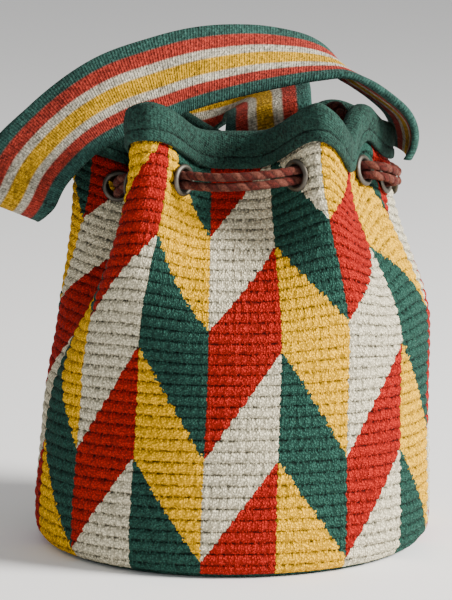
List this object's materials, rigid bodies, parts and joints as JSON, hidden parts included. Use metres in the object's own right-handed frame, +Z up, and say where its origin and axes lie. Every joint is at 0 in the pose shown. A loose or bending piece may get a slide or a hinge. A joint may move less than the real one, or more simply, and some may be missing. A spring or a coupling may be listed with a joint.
{
  "type": "crochet bucket bag",
  "caption": "Tall crochet bucket bag in a slanted four-colour pattern, its mouth gathered by a drawstring through metal eyelets, with a striped woven shoulder strap.",
  "frame": {"origin": "middle of the flat base, on the surface the bag stands on", "axes": "+Z up through the mouth, -Y towards the side with the front valley of the rim, +X to that side's right, where the strap is sewn on"},
  "size_m": [0.2507, 0.1876, 0.2794],
  "materials": {
    "crochet_cotton": "thick matt single crochet in green, red, yellow and off-white",
    "rim_band_cotton": "fine matt teal knit",
    "strap_cotton": "tightly woven matt stripes in green, red, off-white and yellow",
    "drawstring_cotton": "twisted matt cord",
    "eyelet_nickel": "worn bright nickel"
  },
  "bodies": {
    "root": {"bag_body": "crochet_cotton", "rim_band": "rim_band_cotton", "shoulder_strap": "strap_cotton", "eyelet_1": "eyelet_nickel", "eyelet_2": "eyelet_nickel", "eyelet_3": "eyelet_nickel", "eyelet_4": "eyelet_nickel", "eyelet_5": "eyelet_nickel", "eyelet_6": "eyelet_nickel", "eyelet_7": "eyelet_nickel", "eyelet_8": "eyelet_nickel", "eyelet_9": "eyelet_nickel", "eyelet_10": "eyelet_nickel", "eyelet_11": "eyelet_nickel", "eyelet_12": "eyelet_nickel", "eyelet_washer_1": "eyelet_nickel", "eyelet_washer_2": "eyelet_nickel", "eyelet_washer_3": "eyelet_nickel", "eyelet_washer_4": "eyelet_nickel", "eyelet_washer_5": "eyelet_nickel", "eyelet_washer_6": "eyelet_nickel", "eyelet_washer_7": "eyelet_nickel", "eyelet_washer_8": "eyelet_nickel", "eyelet_washer_9": "eyelet_nickel", "eyelet_washer_10": "eyelet_nickel", "eyelet_washer_11": "eyelet_nickel", "eyelet_washer_12": "eyelet_nickel", "drawstring_1": "drawstring_cotton", "drawstring_2": "drawstring_cotton", "drawstring_knot": "drawstring_cotton", "drawstring_tail_1": "drawstring_cotton", "drawstring_tail_2": "drawstring_cotton"}
  },
  "joints": []
}
